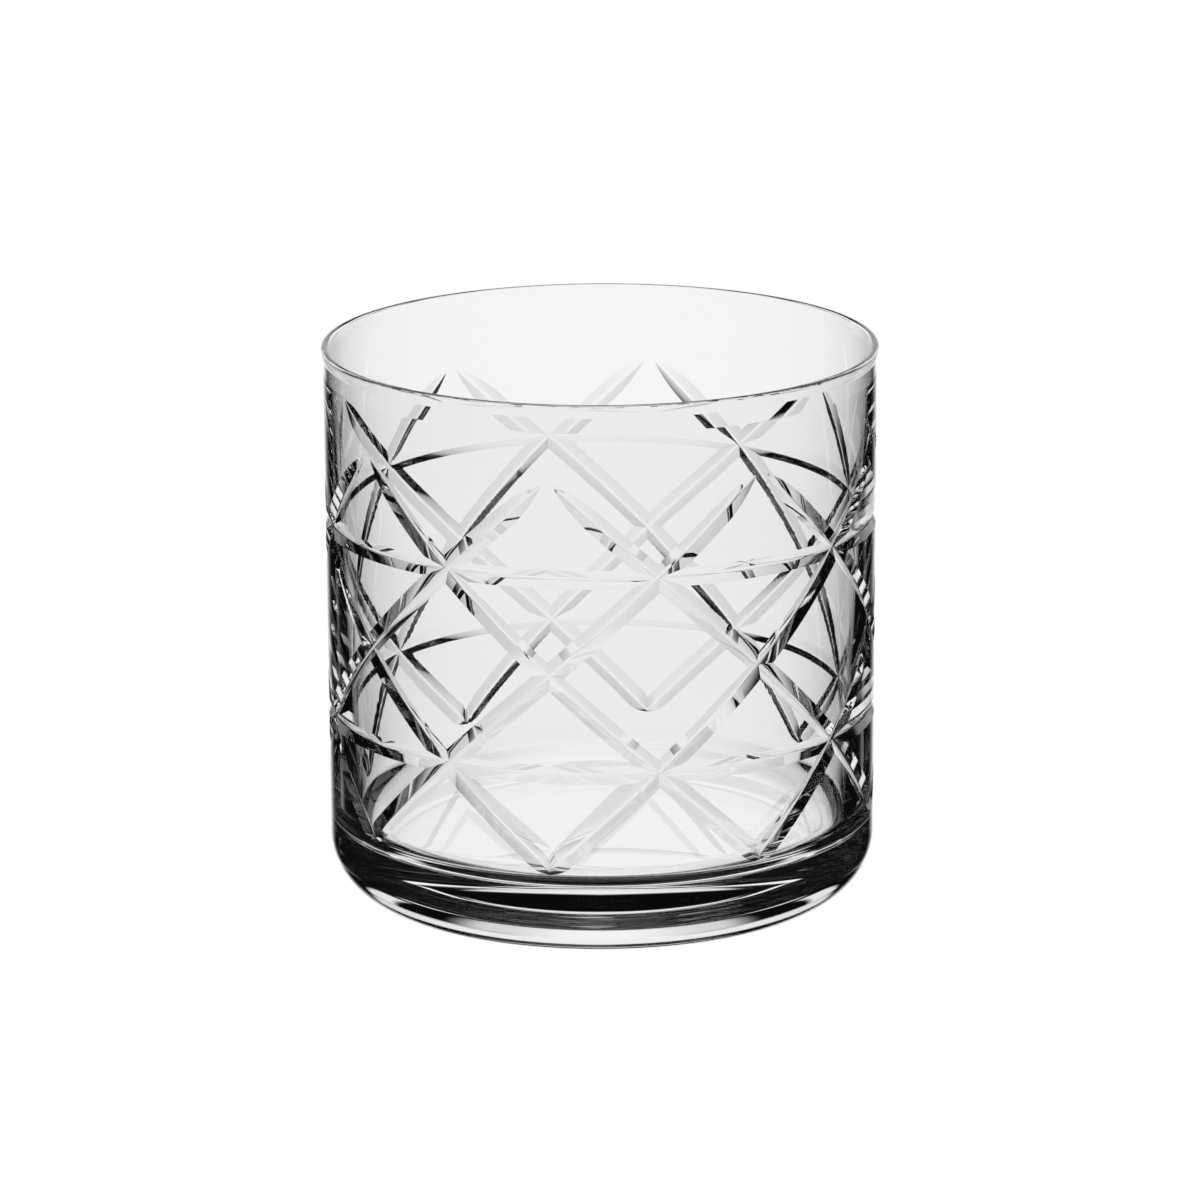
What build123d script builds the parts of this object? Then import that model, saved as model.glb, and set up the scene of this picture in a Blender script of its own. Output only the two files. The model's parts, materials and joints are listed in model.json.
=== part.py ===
from build123d import *
import math
import os

# Cut-crystal whiskey tumbler: one piece of glass, blown and cut.
# Millimetres, +Z up, origin at the centre of the foot.

# Driving dimensions
HEIGHT = 89.0               # foot to the top of the rim
RIM_RADIUS = 44.0           # widest point, on the fire-polished bead
LIP_THICKNESS = 1.1         # bead, across its rounded top
MOUTH_DEPTH = 4.0           # straight stretch of the inside below the rounding
BEAD_DROP = 2.05            # top of the rim to the underside of the bead
WALL_RADIUS_TOP = 43.7      # outside of the wall just under the bead
WALL_RADIUS_FOOT = 43.5     # outside of the wall where the heel begins
HEEL_HEIGHT = 9.6           # where the wall turns into the heel
HEEL_RADIUS = 9.85          # the rounding of the heel, ground off flat below
FLOOR_HEIGHT = 10.7         # thickness of the base
FLOOR_RADIUS_WALL = 39.6    # inside of the wall where it meets the corner
CORNER_RADIUS = 5.0         # inside rounding between wall and floor

# The cut pattern
PETALS = 8                  # repeats round the glass
PITCH = 15.55               # height between two rows of crossings
UPPER_RING_HEIGHT = 61.6    # the upper horizontal cut
CROSSING_ANGLE = 11.7       # degrees from the front to the first ring crossing
FACET_SLOPE = 24.0          # degrees, each face of a V cut against the wall
ROOT_RADIUS = 0.8           # rounding at the bottom of a V cut
RING_DEPTH = 0.66           # the two horizontal cuts, depth where the two faces would meet
RIGHT_HAND_DEPTH = 0.80     # the cuts that climb to the right, measured the same way
LEFT_HAND_DEPTH = 0.72      # the cuts that climb to the left
CUT_CLEARANCE = 0.5         # how far a cutter stands proud of the wall
UPPER_GAP = 0.9             # a cut starts this far below its upper apex
UPPER_RUN_OUT = 9.0         # length over which its upper end fades
LOWER_OVERRUN = 0.8         # a cut runs this far past its lower apex
LOWER_RUN_OUT = 3.5         # length over which its lower end fades
ROWS_SPANNED = 4            # a diagonal runs over this many rows
CUTTER_STEPS = 40           # even steps between the sections of a diagonal cutter

LOWER_RING_HEIGHT = UPPER_RING_HEIGHT - 2 * PITCH
APEX_HEIGHT = UPPER_RING_HEIGHT + PITCH
HALF_STEP = 180.0 / PETALS


def wall_radius(z):
    """Outside radius of the plain wall at a height."""
    share = (z - HEEL_HEIGHT) / (HEIGHT - BEAD_DROP - HEEL_HEIGHT)
    return WALL_RADIUS_FOOT + share * (WALL_RADIUS_TOP - WALL_RADIUS_FOOT)


def tumbler_blank():
    """The uncut glass, turned round its axis."""
    lip = LIP_THICKNESS / 2
    mouth_radius = RIM_RADIUS - LIP_THICKNESS
    bead_z = HEIGHT - lip
    bead_foot_z = HEIGHT - BEAD_DROP
    bead_in = RIM_RADIUS - WALL_RADIUS_TOP
    bead_fall = bead_z - bead_foot_z
    bead_radius = (bead_fall**2 + bead_in**2) / (2 * bead_in)
    bead_mid_z = bead_z - bead_fall / 2
    bead_mid_r = RIM_RADIUS - bead_radius + math.sqrt(
        bead_radius**2 - (bead_fall / 2) ** 2
    )
    heel_centre = WALL_RADIUS_FOOT - HEEL_RADIUS
    foot_radius = heel_centre + math.sqrt(HEEL_RADIUS**2 - HEEL_HEIGHT**2)
    turn = math.asin(HEEL_HEIGHT / HEEL_RADIUS) / 2
    heel_mid = (
        heel_centre + HEEL_RADIUS * math.cos(turn),
        0,
        HEEL_HEIGHT - HEEL_RADIUS * math.sin(turn),
    )
    corner_z = FLOOR_HEIGHT + CORNER_RADIUS
    corner_r = FLOOR_RADIUS_WALL - CORNER_RADIUS
    diagonal = CORNER_RADIUS / math.sqrt(2)
    with BuildSketch(Plane.XZ) as section:
        with BuildLine():
            Line((0, 0), (foot_radius, 0))
            ThreePointArc(
                (foot_radius, 0),
                (heel_mid[0], heel_mid[2]),
                (WALL_RADIUS_FOOT, HEEL_HEIGHT),
            )
            Line((WALL_RADIUS_FOOT, HEEL_HEIGHT), (WALL_RADIUS_TOP, bead_foot_z))
            ThreePointArc(
                (WALL_RADIUS_TOP, bead_foot_z),
                (bead_mid_r, bead_mid_z),
                (RIM_RADIUS, bead_z),
            )
            ThreePointArc(
                (RIM_RADIUS, bead_z),
                (RIM_RADIUS - lip, HEIGHT),
                (mouth_radius, bead_z),
            )
            Line((mouth_radius, bead_z), (mouth_radius, bead_z - MOUTH_DEPTH))
            Line((mouth_radius, bead_z - MOUTH_DEPTH), (FLOOR_RADIUS_WALL, corner_z))
            ThreePointArc(
                (FLOOR_RADIUS_WALL, corner_z),
                (corner_r + diagonal, corner_z - diagonal),
                (corner_r, FLOOR_HEIGHT),
            )
            Line((corner_r, FLOOR_HEIGHT), (0, FLOOR_HEIGHT))
            Line((0, FLOOR_HEIGHT), (0, 0))
        make_face()
    return revolve(section.sketch, Axis.Z)


def wheel_edge(depth):
    """Edge of the grinding wheel as (sideways, outwards) points from the plain wall.

    A straight face, three points of the rounded root, and the other straight face.
    """
    slope = math.radians(FACET_SLOPE)
    half_width = (depth + CUT_CLEARANCE) / math.tan(slope)
    centre = ROOT_RADIUS / math.cos(slope) - depth
    side = ROOT_RADIUS * math.sin(slope)
    tangent = centre - ROOT_RADIUS * math.cos(slope)
    return [
        (-half_width, CUT_CLEARANCE),
        (-side, tangent),
        (0, centre - ROOT_RADIUS),
        (side, tangent),
        (half_width, CUT_CLEARANCE),
    ]


def wheel_wire(corners):
    """Closed outline through the five points of a wheel edge."""
    start, root_in, root, root_out, end = corners
    return Wire(
        [
            Edge.make_line(start, root_in),
            Edge.make_three_point_arc(root_in, root, root_out),
            Edge.make_line(root_out, end),
            Edge.make_line(end, start),
        ]
    )


def ring_cutter(z):
    """A V-shaped ring for one horizontal cut."""
    radius = wall_radius(z)
    corners = [Vector(radius + out, 0, z + up) for up, out in wheel_edge(RING_DEPTH)]
    return revolve(Face(wheel_wire(corners)), Axis.Z)


def run_out_share(to_end, run_out):
    """Share of the full depth at a distance from an end of a cut."""
    if to_end >= run_out:
        return 1.0
    return 1 - ((run_out - to_end) / run_out) ** 2


def diagonal_cutter(start_angle, hand, depth):
    """A V-shaped helical cutter from an upper apex to a lower one.

    start_angle is in degrees from the front; hand is +1 where the cut runs
    down to the right and -1 where it runs down to the left.
    """
    mean_radius = (WALL_RADIUS_TOP + WALL_RADIUS_FOOT) / 2
    fall = ROWS_SPANNED * PITCH
    sweep_arc = mean_radius * math.radians(ROWS_SPANNED * HALF_STEP)
    length = math.hypot(fall, sweep_arc)
    along_z = -fall / length
    along_arc = hand * sweep_arc / length
    end = length + LOWER_OVERRUN
    sections = []
    for k in range(CUTTER_STEPS + 1):
        s = UPPER_GAP + (end - UPPER_GAP) * k / CUTTER_STEPS
        z = APEX_HEIGHT + s * along_z
        angle = math.radians(start_angle) + s * along_arc / mean_radius
        outward = Vector(math.sin(angle), -math.cos(angle), 0)
        sideways = Vector(math.cos(angle), math.sin(angle), 0)
        across = Vector(0, 0, 1) * along_arc - sideways * along_z
        upper = run_out_share(s - UPPER_GAP, UPPER_RUN_OUT)
        lower = run_out_share(end - s, LOWER_RUN_OUT)
        lift = depth * (1 - min(upper, lower))
        on_wall = outward * wall_radius(z) + Vector(0, 0, z)
        corners = [
            on_wall + across * side + outward * (out + lift)
            for side, out in wheel_edge(depth)
        ]
        sections.append(wheel_wire(corners))
    return Solid.make_loft(sections)


body = tumbler_blank()
for ring_z in (UPPER_RING_HEIGHT, LOWER_RING_HEIGHT):
    body = body - ring_cutter(ring_z)
for hand, depth in ((-1, RIGHT_HAND_DEPTH), (1, LEFT_HAND_DEPTH)):
    for k in range(PETALS):
        apex_angle = CROSSING_ANGLE + HALF_STEP + k * 2 * HALF_STEP
        body = body - diagonal_cutter(apex_angle, hand, depth)

os.makedirs("parts", exist_ok=True)
export_step(body, "parts/tumbler_body.step")
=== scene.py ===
"""Cut-crystal whiskey tumbler on a plain pale floor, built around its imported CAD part."""

import json
import logging
import math
from dataclasses import dataclass, field
from enum import Enum

import bpy
from mathutils import Matrix, Vector

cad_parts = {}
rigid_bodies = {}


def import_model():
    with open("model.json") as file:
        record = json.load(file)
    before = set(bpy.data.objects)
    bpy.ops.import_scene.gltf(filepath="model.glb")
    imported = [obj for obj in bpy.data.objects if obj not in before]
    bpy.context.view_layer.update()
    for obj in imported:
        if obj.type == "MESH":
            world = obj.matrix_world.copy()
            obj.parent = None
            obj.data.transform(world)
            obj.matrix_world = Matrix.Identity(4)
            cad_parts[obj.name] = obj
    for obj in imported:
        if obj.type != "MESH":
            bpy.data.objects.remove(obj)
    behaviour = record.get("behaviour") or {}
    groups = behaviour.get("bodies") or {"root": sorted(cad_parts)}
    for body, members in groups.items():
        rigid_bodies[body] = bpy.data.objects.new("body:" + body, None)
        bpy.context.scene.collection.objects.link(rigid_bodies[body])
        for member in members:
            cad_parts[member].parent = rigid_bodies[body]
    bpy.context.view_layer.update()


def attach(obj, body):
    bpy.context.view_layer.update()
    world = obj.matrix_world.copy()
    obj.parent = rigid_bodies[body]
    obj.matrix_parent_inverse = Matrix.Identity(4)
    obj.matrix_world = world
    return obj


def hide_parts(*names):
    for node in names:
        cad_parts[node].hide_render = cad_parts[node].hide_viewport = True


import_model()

LOG = logging.getLogger("tumbler")
MM = 0.001
BODY = "root"
CRYSTAL_NODE = "tumbler_body"
MERGE_DISTANCE = 0.0004 * MM
AXIS_DISTANCE = 0.01 * MM
SIDE_TOLERANCE = 0.0005


class Hand(Enum):
    """The way a diagonal cut runs down the wall, seen from outside."""

    DOWN_RIGHT = 1
    DOWN_LEFT = -1


def deselect_all() -> None:
    """Leave nothing selected, CAD nodes included."""
    for each in bpy.context.scene.objects:
        each.select_set(False)


def make_active(piece: bpy.types.Object) -> None:
    """Select one piece alone and make it the active one.

    Args:
        piece: the piece to work on next.
    """
    deselect_all()
    piece.select_set(True)
    bpy.context.view_layer.objects.active = piece


def turn_profile(name: str, outline: list[tuple[float, float]], spread: float, steps: int,
                 start: float) -> bpy.types.Object:
    """Turn an outline of (radius, height) points round the Z axis into a solid wedge.

    Args:
        name: the name of the new piece.
        outline: the points of the half section, in metres.
        spread: the angle of the wedge, in degrees.
        steps: how many straight sides stand for the wedge.
        start: azimuth where the wedge starts, from the front (-Y) towards +X, in degrees.

    Returns:
        The new solid with its faces outwards.
    """
    deselect_all()
    bpy.ops.mesh.primitive_plane_add(size=MM, location=(0, 0, 0))
    piece = bpy.context.object
    piece.name = name
    bpy.ops.object.mode_set(mode="EDIT")
    bpy.ops.mesh.select_all(action="SELECT")
    bpy.ops.mesh.merge(type="CENTER")
    bpy.ops.transform.translate(value=(outline[0][0], 0.0, outline[0][1]))
    for here, there in zip(outline, outline[1:]):
        step = (there[0] - here[0], 0.0, there[1] - here[1])
        bpy.ops.mesh.extrude_region_move(TRANSFORM_OT_translate={"value": step})
    bpy.ops.mesh.select_all(action="SELECT")
    bpy.ops.mesh.edge_face_add()
    bpy.ops.mesh.select_all(action="SELECT")
    bpy.ops.transform.rotate(value=math.radians(90.0 - start), orient_axis="Z",
                             center_override=(0, 0, 0))
    bpy.ops.mesh.spin(steps=steps, angle=math.radians(-spread), center=(0, 0, 0),
                      axis=(0, 0, 1))
    bpy.ops.mesh.select_all(action="SELECT")
    bpy.ops.mesh.remove_doubles(threshold=MERGE_DISTANCE)
    bpy.ops.mesh.normals_make_consistent(inside=False)
    bpy.ops.object.mode_set(mode="OBJECT")
    return piece


def arc(centre: tuple[float, float], radius: float, start: float, end: float,
        count: int) -> list[tuple[float, float]]:
    """Points on an arc of the half section, both ends included.

    Args:
        centre: (radius, height) of the arc's centre.
        radius: the arc's own radius.
        start: angle of the first point in degrees, 0 pointing outwards.
        end: angle of the last point.
        count: how many steps the arc takes.

    Returns:
        The points in order.
    """
    points = []
    for k in range(count + 1):
        turn = math.radians(start + (end - start) * k / count)
        points.append((centre[0] + radius * math.cos(turn),
                       centre[1] + radius * math.sin(turn)))
    return points


def cut_away(piece: bpy.types.Object, cutter: bpy.types.Object) -> None:
    """Cut one solid out of another and throw the cutter away.

    Args:
        piece: the solid that is cut.
        cutter: the solid whose place is taken out of it.
    """
    make_active(piece)
    cut = piece.modifiers.new("cut", "BOOLEAN")
    cut.operation = "DIFFERENCE"
    cut.solver = "EXACT"
    cut.object = cutter
    bpy.ops.object.modifier_apply(modifier=cut.name)
    bpy.data.objects.remove(cutter)


@dataclass
class CutPattern:
    """The lattice of V cuts ground into the outside of the wall.

    A depth is measured to where the two faces of a V would meet. The lower ends run past
    their apex, so their gap is negative. The wheel starts before a cut and stops after it,
    clear of the wall.
    """

    repeats: int = 8
    pitch: float = 15.55 * MM
    upper_ring: float = 61.6 * MM
    crossing_angle: float = 11.7
    facet_slope: float = 24.0
    root_radius: float = 0.8 * MM
    root_steps: int = 6
    ring_depth: float = 0.66 * MM
    diagonal_depth: dict[Hand, float] = field(default_factory=lambda: {
        Hand.DOWN_LEFT: 0.80 * MM, Hand.DOWN_RIGHT: 0.72 * MM})
    clearance: float = 0.9 * MM
    upper_gap: float = 0.9 * MM
    upper_run_out: float = 9.0 * MM
    lower_gap: float = -0.8 * MM
    lower_run_out: float = 3.5 * MM
    rows: int = 4
    lead_in: float = 1.0 * MM
    lead_out: float = 0.5 * MM
    step: float = 1.0 * MM
    fine_step: float = 0.5 * MM
    ring_overlap_sides: int = 8
    ring_offset_sides: float = 4.5
    wheels_per_wedge: int = 3

    def half_step(self) -> float:
        """Degrees between an apex and the crossing beside it."""
        return 180.0 / self.repeats

    def slope(self) -> float:
        """Rise of a facet over its run."""
        return math.tan(math.radians(self.facet_slope))

    def wheel_section(self, depth: float) -> list[tuple[float, float]]:
        """Outline of the wheel's edge where it bites.

        Args:
            depth: how deep a sharp wheel of this slope would go.

        Returns:
            Points of (sideways, outwards) from one side over the rounded root to the other,
            measured from the plain wall.
        """
        slope = math.radians(self.facet_slope)
        half = (depth + self.clearance) / math.tan(slope)
        centre = self.root_radius / math.cos(slope) - depth
        points = [(-half, self.clearance)]
        for k in range(self.root_steps + 1):
            turn = slope * (2 * k / self.root_steps - 1)
            points.append((self.root_radius * math.sin(turn),
                           centre - self.root_radius * math.cos(turn)))
        points.append((half, self.clearance))
        return points

    def cut_rings(self, glass: bpy.types.Object, wall: "TumblerGlass") -> None:
        """Grind the two horizontal cuts into a wedge of the wall.

        Args:
            glass: the wedge.
            wall: the sizes of the glass.
        """
        for height in (self.upper_ring, self.upper_ring - 2 * self.pitch):
            radius = wall.wall_radius(height)
            outline = [(radius + out, height + up)
                       for up, out in self.wheel_section(self.ring_depth)]
            side = 360.0 / wall.sides
            cutter = turn_profile("ring_wheel", outline,
                                  wall.wedge + self.ring_overlap_sides * side,
                                  int(round(wall.wedge / side)) + self.ring_overlap_sides,
                                  wall.wedge_start - self.ring_offset_sides * side)
            cut_away(glass, cutter)

    @staticmethod
    def run_out_share(to_end: float, run_out: float) -> float:
        """Share of the full depth at a distance from an end."""
        return 1.0 if to_end >= run_out else 1 - ((run_out - to_end) / run_out)**2

    def depth_at(self, along: float, length: float, depth: float) -> float:
        """Depth of a diagonal at a distance from its upper apex.

        Args:
            along: the distance down the cut.
            length: the distance between its two apexes.
            depth: its depth away from the ends.

        Returns:
            The depth there.
        """
        upper = self.run_out_share(along - self.upper_gap, self.upper_run_out)
        lower = self.run_out_share(length - self.lower_gap - along, self.lower_run_out)
        return depth * min(upper, lower)

    def stations(self, length: float) -> list[float]:
        """Places along a diagonal where its cutter has a section.

        Args:
            length: the distance between its two apexes.

        Returns:
            Distances from the upper apex, closer together near the ends.
        """
        stop = length - self.lower_gap + self.lead_out
        places = [self.upper_gap - self.lead_in]
        while places[-1] < stop - self.fine_step / 2:
            here = places[-1]
            near = (here < self.upper_gap + self.upper_run_out
                    or here > length - self.lower_gap - self.lower_run_out - self.step)
            places.append(here + (self.fine_step if near else self.step))
        return places

    def diagonal_wheel(self, hand: Hand, wall: "TumblerGlass") -> bpy.types.Object:
        """Make the cutter of one diagonal, from the apex in front downwards.

        Args:
            hand: the way the cut runs down.
            wall: the sizes of the glass.

        Returns:
            A closed solid, swept down the wall.
        """
        mean = (wall.wall_top_radius + wall.wall_foot_radius) / 2
        fall = self.rows * self.pitch
        arc_length = mean * math.radians(self.rows * self.half_step())
        length = math.hypot(fall, arc_length)
        along_z, along_arc = -fall / length, hand.value * arc_length / length
        depth = self.diagonal_depth[hand]
        top = self.upper_ring + self.pitch

        def section(s: float) -> list[Vector]:
            """Place the wheel's outline at a distance from the upper apex.

            Args:
                s: the distance down the cut.

            Returns:
                The corners of the section.
            """
            z = top + s * along_z
            turn = s * along_arc / mean
            outward = Vector((math.sin(turn), -math.cos(turn), 0))
            sideways = Vector((math.cos(turn), math.sin(turn), 0))
            across = Vector((0, 0, along_arc)) - sideways * along_z
            lift = depth - self.depth_at(s, length, depth)
            wall_point = outward * wall.wall_radius(z) + Vector((0, 0, z))
            return [wall_point + across * side + outward * (out + lift)
                    for side, out in self.wheel_section(depth)]

        places = [section(s) for s in self.stations(length)]
        deselect_all()
        bpy.ops.mesh.primitive_circle_add(vertices=len(places[0]), radius=MM, fill_type="NGON")
        wheel = bpy.context.object
        wheel.name = "diagonal_wheel"
        bpy.ops.object.mode_set(mode="EDIT")
        bpy.ops.mesh.select_all(action="SELECT")
        for _ in places[1:]:
            bpy.ops.mesh.extrude_region_move()
        bpy.ops.object.mode_set(mode="OBJECT")
        flat = [corner for place in places for corner in place]
        for vertex, corner in zip(wheel.data.vertices, flat):
            vertex.co = corner
        bpy.ops.object.mode_set(mode="EDIT")
        bpy.ops.mesh.select_all(action="SELECT")
        bpy.ops.mesh.normals_make_consistent(inside=False)
        bpy.ops.object.mode_set(mode="OBJECT")
        return wheel

    def cut_diagonals(self, glass: bpy.types.Object, wall: "TumblerGlass") -> None:
        """Grind the cuts of each hand that cross a wedge of the wall.

        Args:
            glass: the wedge.
            wall: the sizes of the glass.
        """
        for hand in (Hand.DOWN_LEFT, Hand.DOWN_RIGHT):
            wheel = self.diagonal_wheel(hand, wall)
            for k in range(self.wheels_per_wedge):
                step = self.half_step() * (1 - 2 * k * hand.value)
                copy = bpy.data.objects.new(f"wheel_{k}", wheel.data.copy())
                bpy.context.scene.collection.objects.link(copy)
                make_active(copy)
                copy.rotation_euler = (0, 0, math.radians(self.crossing_angle + step))
                bpy.ops.object.transform_apply(location=True, rotation=True, scale=True)
                cut_away(glass, copy)
            bpy.data.objects.remove(wheel)


@dataclass
class TumblerGlass:
    """The one piece of crystal: rim, wall, heel, foot and base.

    It is turned and cut as a wedge and then repeated round the axis. The hold is how close
    a ring of corners stands to each edge of the section, so that smoothing stays beside it.
    """

    height: float = 88.998 * MM
    rim_radius: float = 44.0 * MM
    lip: float = 1.1 * MM
    mouth_depth: float = 4.0 * MM
    bead_drop: float = 2.05 * MM
    wall_top_radius: float = 43.7 * MM
    wall_foot_radius: float = 43.5 * MM
    heel_height: float = 9.6 * MM
    heel_radius: float = 9.85 * MM
    floor_height: float = 10.7 * MM
    floor_wall_radius: float = 39.6 * MM
    corner_radius: float = 5.0 * MM
    sides: int = 720
    wedge: float = 45.0
    wedge_start: float = 18.9
    hold: float = 0.05 * MM
    foot_ring: float = 1.0 * MM
    floor_ring: float = 0.5
    heel_steps: int = 20
    bead_steps: int = 4
    lip_steps: int = 16
    corner_steps: int = 16
    crisp_angle: float = 9.0
    cuts: CutPattern = field(default_factory=CutPattern)

    def wall_radius(self, z: float) -> float:
        """Outside radius of the plain wall at a height.

        Args:
            z: the height above the foot.

        Returns:
            The radius.
        """
        wall_top = self.height - self.bead_drop
        share = (z - self.heel_height) / (wall_top - self.heel_height)
        return self.wall_foot_radius + share * (self.wall_top_radius - self.wall_foot_radius)

    def outline(self) -> list[tuple[float, float]]:
        """The half section of the glass.

        Returns:
            Points of (radius, height) from the middle of the foot up the outside, over the
            rim and down the inside to the middle of the floor.
        """
        lip = self.lip / 2
        mouth = self.rim_radius - self.lip
        bead_z = self.height - lip
        bead_foot = self.height - self.bead_drop
        bead_in = self.rim_radius - self.wall_top_radius
        fall = bead_z - bead_foot
        bead_radius = (fall**2 + bead_in**2) / (2 * bead_in)
        bead_turn = math.degrees(math.asin(fall / bead_radius))
        heel_turn = math.degrees(math.asin(self.heel_height / self.heel_radius))
        heel_centre = (self.wall_foot_radius - self.heel_radius, self.heel_height)
        corner_centre = (self.floor_wall_radius - self.corner_radius,
                         self.floor_height + self.corner_radius)
        foot = self.heel_radius * math.cos(math.radians(heel_turn)) + heel_centre[0]
        points = [(0.0, 0.0), (foot - self.foot_ring, 0.0), (foot - self.hold, 0.0)]
        points += arc(heel_centre, self.heel_radius, -heel_turn, 0.0, self.heel_steps)
        points += [(self.wall_radius(self.heel_height + self.hold), self.heel_height + self.hold),
                   (self.wall_radius(bead_foot - self.hold), bead_foot - self.hold)]
        points += arc((self.rim_radius - bead_radius, bead_z), bead_radius, -bead_turn, 0.0,
                      self.bead_steps)
        points += arc((self.rim_radius - lip, bead_z), lip, 0.0, 180.0, self.lip_steps)[1:]
        points += [(mouth, bead_z - self.hold), (mouth, bead_z - self.mouth_depth + self.hold),
                   (mouth, bead_z - self.mouth_depth)]
        slope = (mouth - self.floor_wall_radius) / (bead_z - self.mouth_depth - corner_centre[1])
        points += [(mouth - slope * self.hold, bead_z - self.mouth_depth - self.hold),
                   (self.floor_wall_radius + slope * self.hold, corner_centre[1] + self.hold)]
        points += arc(corner_centre, self.corner_radius, 0.0, -90.0, self.corner_steps)
        points += [(corner_centre[0] - self.hold, self.floor_height),
                   (corner_centre[0] * self.floor_ring, self.floor_height), (0.0, self.floor_height)]
        return points

    def open_sides(self, glass: bpy.types.Object) -> None:
        """Take away the two flat faces where a wedge meets its neighbours.

        Args:
            glass: the wedge.
        """
        make_active(glass)
        bpy.ops.object.mode_set(mode="EDIT")
        bpy.ops.mesh.select_mode(type="FACE")
        bpy.ops.mesh.select_all(action="DESELECT")
        bpy.ops.object.mode_set(mode="OBJECT")
        ends = (self.wedge_start, self.wedge_start + self.wedge)
        for face in glass.data.polygons:
            turns = [self.azimuth(glass.data.vertices[v].co) for v in face.vertices]
            face.select = any(all(t is None or abs(t - end) < SIDE_TOLERANCE for t in turns)
                              for end in ends)
        bpy.ops.object.mode_set(mode="EDIT")
        bpy.ops.mesh.delete(type="FACE")
        bpy.ops.mesh.select_mode(type="VERT")
        bpy.ops.object.mode_set(mode="OBJECT")

    @staticmethod
    def azimuth(point: Vector) -> float | None:
        """Find the direction of a point from the axis.

        Args:
            point: the point.

        Returns:
            Degrees from the front towards +X, or nothing on the axis.
        """
        if math.hypot(point.x, point.y) < AXIS_DISTANCE:
            return None
        return math.degrees(math.atan2(point.x, -point.y))

    def build(self) -> bpy.types.Object:
        """Turn the blank, grind the cuts and smooth the surface.

        Returns:
            The finished glass.
        """
        steps = int(round(self.sides * self.wedge / 360.0))
        glass = turn_profile("cut_crystal_glass", self.outline(), self.wedge, steps,
                             self.wedge_start)
        self.cuts.cut_rings(glass, self)
        self.cuts.cut_diagonals(glass, self)
        self.open_sides(glass)
        pivot = bpy.data.objects.new("pivot", None)
        bpy.context.scene.collection.objects.link(pivot)
        pivot.rotation_euler = (0, 0, math.radians(self.wedge))
        bpy.context.view_layer.update()
        make_active(glass)
        round_wall = glass.modifiers.new("round", "ARRAY")
        round_wall.count = int(round(360.0 / self.wedge))
        round_wall.use_relative_offset = False
        round_wall.use_object_offset = True
        round_wall.offset_object = pivot
        bpy.ops.object.modifier_apply(modifier=round_wall.name)
        bpy.data.objects.remove(pivot)
        bpy.ops.object.mode_set(mode="EDIT")
        bpy.ops.mesh.select_all(action="SELECT")
        bpy.ops.mesh.remove_doubles(threshold=MERGE_DISTANCE)
        bpy.ops.object.mode_set(mode="OBJECT")
        bpy.ops.object.shade_smooth_by_angle(angle=math.radians(self.crisp_angle))
        return glass


class Signal:
    """One socket of a node tree that can be used in sums like a number."""

    def __init__(self, graph: "Graph", socket: bpy.types.NodeSocket) -> None:
        """Wrap a socket.

        Args:
            graph: the tree the socket is in.
            socket: the output to carry on from.
        """
        self.graph = graph
        self.socket = socket

    def combine(self, operation: str, *others: "Signal | float") -> "Signal":
        """Feed this and the other values to one Math node.

        Args:
            operation: what the node does.
            others: what goes in after this.

        Returns:
            What comes out.
        """
        return self.graph.math(operation, self, *others)

    def __add__(self, other: "Signal | float") -> "Signal":
        """Add."""
        return self.combine("ADD", other)

    def __radd__(self, other: float) -> "Signal":
        """Add to a number."""
        return self.combine("ADD", other)

    def __sub__(self, other: "Signal | float") -> "Signal":
        """Subtract."""
        return self.combine("SUBTRACT", other)

    def __rsub__(self, other: float) -> "Signal":
        """Subtract from a number."""
        return self.graph.math("SUBTRACT", other, self)

    def __mul__(self, other: "Signal | float") -> "Signal":
        """Multiply."""
        return self.combine("MULTIPLY", other)

    def __rmul__(self, other: float) -> "Signal":
        """Multiply a number."""
        return self.combine("MULTIPLY", other)

    def __truediv__(self, other: "Signal | float") -> "Signal":
        """Divide."""
        return self.combine("DIVIDE", other)

    def __rtruediv__(self, other: float) -> "Signal":
        """Divide a number."""
        return self.graph.math("DIVIDE", other, self)

    def __gt__(self, other: "Signal | float") -> "Signal":
        """Be 1 where this is the greater, else 0."""
        return self.combine("GREATER_THAN", other)

    def fade(self, full: float, gone: float) -> "Signal":
        """Be 1 up to one value and fall smoothly to 0 at another.

        Args:
            full: where the fall starts.
            gone: where it has reached 0.

        Returns:
            The share between 0 and 1.
        """
        node = self.graph.node("ShaderNodeMapRange", {"interpolation_type": "SMOOTHSTEP"},
                               {"Value": self, "From Min": full, "From Max": gone,
                                "To Min": 1.0, "To Max": 0.0})
        return Signal(self.graph, node.outputs["Result"])

    def blend(self, low: "Signal | float", high: "Signal | float") -> "Signal":
        """Use this as a mask between two values.

        Args:
            low: what 0 gives.
            high: what 1 gives.

        Returns:
            The value between them.
        """
        return self * (high - low) + low


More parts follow.
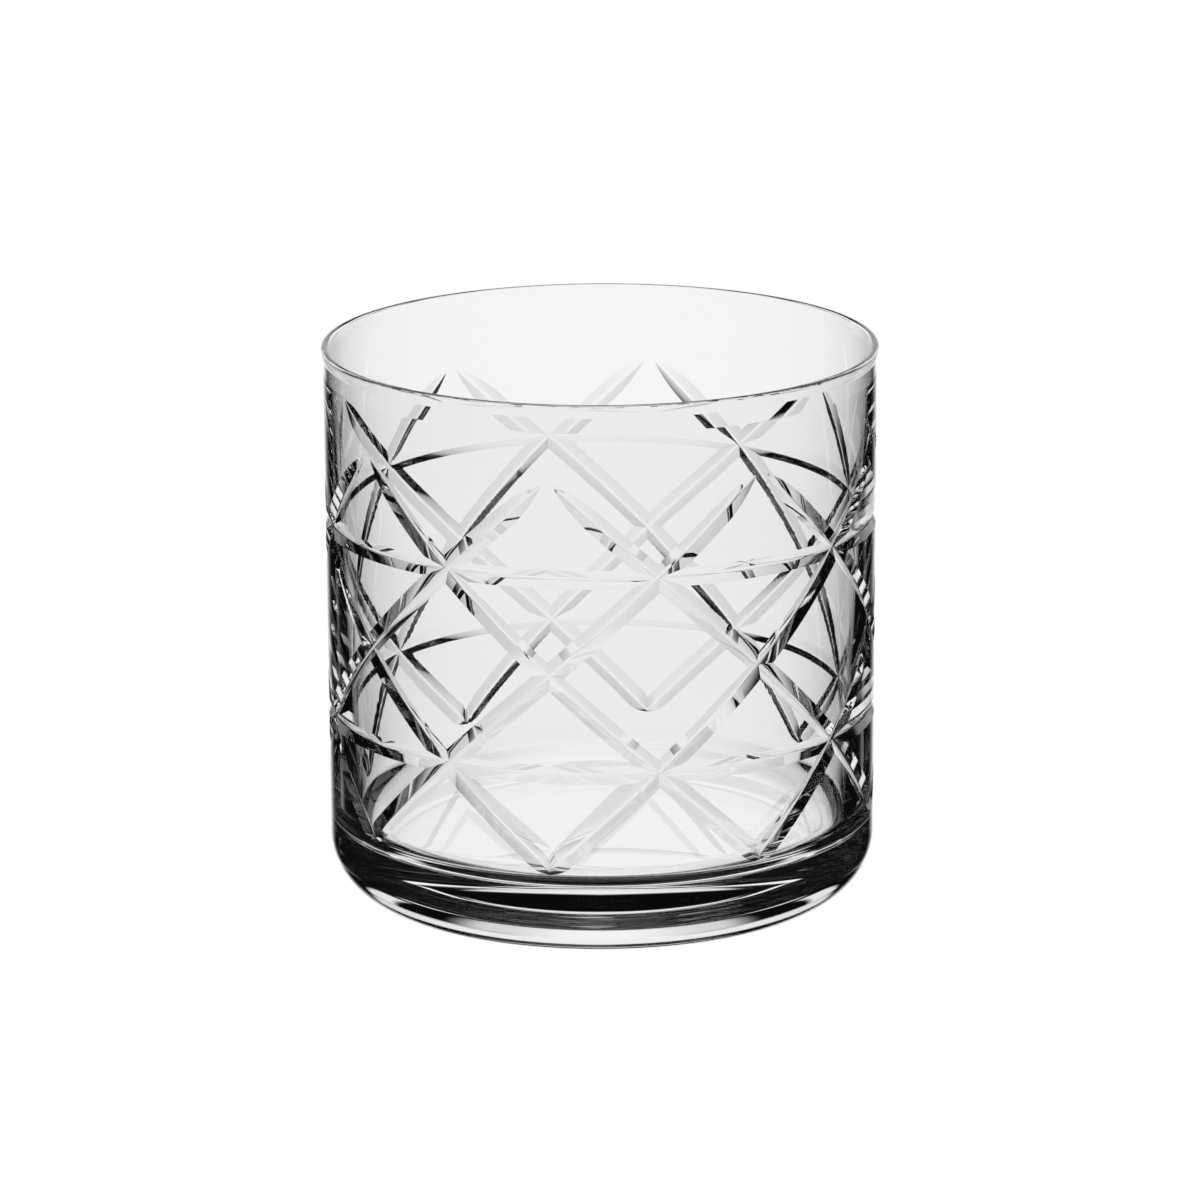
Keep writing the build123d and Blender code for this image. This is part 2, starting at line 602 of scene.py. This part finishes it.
class Graph:
    """A node tree that is filled from an empty start."""

    def __init__(self, tree: bpy.types.NodeTree) -> None:
        """Empty a tree.

        Args:
            tree: the tree to fill.
        """
        self.tree = tree
        tree.nodes.clear()

    def node(self, kind: str, settings: dict[str, object] | None = None,
             inputs: dict[str | int, object] | None = None) -> bpy.types.Node:
        """Add one node.

        Args:
            kind: the node's type name.
            settings: properties to set on it.
            inputs: a value, a Signal or a socket for each named or numbered input.

        Returns:
            The node.
        """
        made = self.tree.nodes.new(kind)
        for key, value in (settings or {}).items():
            setattr(made, key, value)
        for key, value in (inputs or {}).items():
            if isinstance(value, Signal):
                self.tree.links.new(value.socket, made.inputs[key])
            elif isinstance(value, bpy.types.NodeSocket):
                self.tree.links.new(value, made.inputs[key])
            else:
                made.inputs[key].default_value = value
        return made

    def math(self, operation: str, *values: "Signal | float") -> Signal:
        """Add one Math node.

        Args:
            operation: what it does.
            values: what goes in, in order.

        Returns:
            What comes out.
        """
        made = self.node("ShaderNodeMath", {"operation": operation}, dict(enumerate(values)))
        return Signal(self, made.outputs[0])


@dataclass(frozen=True)
class CrystalFinish:
    """Clear polished crystal with the faint ripple of fire-finished glass.

    The ripple bends the surface by a hair, and the tint and haze follow it.
    """

    ior: float = 1.53
    clear: tuple[float, float, float, float] = (1.0, 1.0, 1.0, 1.0)
    tinted: tuple[float, float, float, float] = (0.992, 0.997, 0.996, 1.0)
    ripple_scale: float = 60.0
    ripple_detail: float = 1.0
    ripple: float = 0.004
    haze: float = 0.004

    def material(self) -> bpy.types.Material:
        """Make the node material.

        Returns:
            The material.
        """
        made = bpy.data.materials.new("clear_crystal")
        made.use_nodes = True
        graph = Graph(made.node_tree)
        place = graph.node("ShaderNodeTexCoord")
        ripples = graph.node("ShaderNodeTexNoise", None,
                             {"Vector": place.outputs["Object"], "Scale": self.ripple_scale,
                              "Detail": self.ripple_detail})
        wave = Signal(graph, ripples.outputs["Fac"])
        bump = graph.node("ShaderNodeBump", None,
                          {"Height": wave, "Strength": self.ripple, "Distance": MM})
        colour = graph.node("ShaderNodeMix", {"data_type": "RGBA"},
                            {0: wave, 6: self.clear, 7: self.tinted})
        shader = graph.node("ShaderNodeBsdfPrincipled", None,
                            {"Base Color": colour.outputs[2],
                             "Roughness": wave * self.haze,
                             "IOR": self.ior, "Transmission Weight": 1.0,
                             "Normal": bump.outputs["Normal"]})
        graph.node("ShaderNodeOutputMaterial", None, {"Surface": shader.outputs["BSDF"]})
        return made


@dataclass
class Studio:
    """Pale floor in a bright-field set-up: white behind the glass, dark beside it.

    Each pair is the angle in degrees where a light is still full and the one where it is
    gone. A side is measured from straight behind the glass (+Y), up and under from level.

    What has only passed through the glass sees a backdrop that stands behind it on each
    of four sides, with a narrow one at each corner. What was mirrored inside the glass,
    more often than the mirror count, sees one band, the sweep under it and an overhead
    lamp, all behind the glass.
    """

    floor_size: float = 8.0
    floor_drop: float = 0.1 * MM
    white: float = 1.0
    dark: float = 0.003
    corner: float = 45.0
    slope_side: tuple[float, float] = (3.0, 17.0)
    slope_share: float = 0.75
    square_side: tuple[float, float] = (18.0, 27.0)
    corner_side: tuple[float, float] = (3.5, 7.0)
    through_up: tuple[float, float] = (19.0, 25.0)
    through_under: tuple[float, float] = (54.0, 66.0)
    mirrored_up: tuple[float, float] = (19.0, 24.0)
    band_side: tuple[float, float] = (45.0, 50.0)
    band_under: tuple[float, float] = (4.0, 12.0)
    sweep_side: tuple[float, float] = (8.0, 24.0)
    sweep_under: tuple[float, float] = (30.0, 38.0)
    lamp_side: tuple[float, float] = (28.0, 36.0)
    lamp_up: tuple[float, float] = (56.0, 64.0)
    lamp_foot: tuple[float, float] = (34.5, 37.5)
    lamp_rise: float = 0.15
    lamp_rise_side: float = 45.0
    mirror_count: float = 0.5
    bounces: int = 32

    def lay_floor(self) -> None:
        """Lay the pale floor, which shows to the camera but not through or in the glass."""
        deselect_all()
        bpy.ops.mesh.primitive_plane_add(size=self.floor_size, location=(0, 0, -self.floor_drop))
        floor = bpy.context.object
        floor.name = "floor"
        floor.visible_transmission = False
        floor.visible_glossy = False
        paint = bpy.data.materials.new("pale_floor")
        paint.use_nodes = True
        graph = Graph(paint.node_tree)
        glow = graph.node("ShaderNodeEmission", None, {"Strength": self.white})
        graph.node("ShaderNodeOutputMaterial", None, {"Surface": glow.outputs["Emission"]})
        floor.data.materials.append(paint)

    def set_surroundings(self) -> None:
        """Light the surroundings by direction, white where the camera looks past the glass."""
        world = bpy.data.worlds.new("surroundings")
        bpy.context.scene.world = world
        world.use_nodes = True
        graph = Graph(world.node_tree)
        place = graph.node("ShaderNodeTexCoord")
        split = graph.node("ShaderNodeSeparateXYZ", None, {0: place.outputs["Generated"]})
        x, y, z = (Signal(graph, split.outputs[name]) for name in "XYZ")
        degrees = 180.0 / math.pi
        azimuth = x.combine("ARCTAN2", y) * degrees
        elevation = z.combine("ARCSINE") * degrees
        side, under = azimuth.combine("ABSOLUTE"), 0.0 - elevation
        off_square = azimuth.combine("PINGPONG", self.corner)
        square = (off_square.fade(*self.slope_side).blend(self.slope_share, 1.0)
                  * off_square.fade(*self.square_side))
        corner = (self.corner - off_square).fade(*self.corner_side)
        through = (square.combine("MAXIMUM", corner) * elevation.fade(*self.through_up)
                   * under.fade(*self.through_under))
        band = side.fade(*self.band_side) * under.fade(*self.band_under)
        sweep = side.fade(*self.sweep_side) * under.fade(*self.sweep_under)
        risen = elevation - side.combine("MINIMUM", self.lamp_rise_side) * self.lamp_rise
        lamp = (side.fade(*self.lamp_side) * elevation.fade(*self.lamp_up)
                * (1.0 - risen.fade(*self.lamp_foot)))
        backdrop = band.combine("MAXIMUM", sweep) * elevation.fade(*self.mirrored_up)
        mirrored = backdrop.combine("MAXIMUM", lamp)
        path = graph.node("ShaderNodeLightPath")
        bounced = Signal(graph, path.outputs["Glossy Depth"]) > self.mirror_count
        seen = Signal(graph, path.outputs["Is Camera Ray"])
        share = seen.blend(bounced.blend(through, mirrored), 1.0)
        glow = graph.node("ShaderNodeBackground", None,
                          {"Color": (1.0, 1.0, 1.0, 1.0),
                           "Strength": share.blend(self.dark, self.white)})
        graph.node("ShaderNodeOutputWorld", None, {"Surface": glow.outputs["Background"]})

    def build(self) -> None:
        """Lay the floor, set the surroundings and let light pass many surfaces."""
        self.lay_floor()
        self.set_surroundings()
        scene = bpy.context.scene
        scene.view_settings.view_transform = "Standard"
        scene.cycles.max_bounces = self.bounces
        scene.cycles.transmission_bounces = self.bounces
        scene.cycles.glossy_bounces = self.bounces


@dataclass
class StudioCamera:
    """A long lens a little above the rim."""

    distance: float = 1.0675
    elevation: float = 15.05
    lens: float = 200.84
    sensor: float = 36.0
    aim_height: float = 45.0 * MM
    roll: float = -0.271
    shift: tuple[float, float] = (-0.0009, 0.0094)

    def build(self) -> None:
        """Place the camera."""
        data = bpy.data.cameras.new("camera")
        data.lens = self.lens
        data.sensor_width = self.sensor
        data.shift_x, data.shift_y = self.shift
        camera = bpy.data.objects.new("camera", data)
        bpy.context.scene.collection.objects.link(camera)
        down = math.radians(self.elevation)
        camera.location = (0, -self.distance * math.cos(down),
                           self.aim_height + self.distance * math.sin(down))
        turn = (Matrix.Rotation(math.radians(90 - self.elevation), 3, "X")
                @ Matrix.Rotation(math.radians(self.roll), 3, "Z"))
        camera.rotation_euler = turn.to_euler()
        bpy.context.scene.camera = camera


def main() -> None:
    """Build the tumbler, the studio and the camera."""
    logging.basicConfig(level=logging.INFO)
    glass = TumblerGlass().build()
    glass.data.materials.clear()
    glass.data.materials.append(CrystalFinish().material())
    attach(glass, BODY)
    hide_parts(CRYSTAL_NODE)
    LOG.info("%s: %d faces", glass.name, len(glass.data.polygons))
    Studio().build()
    StudioCamera().build()


if __name__ == "__main__":
    main()
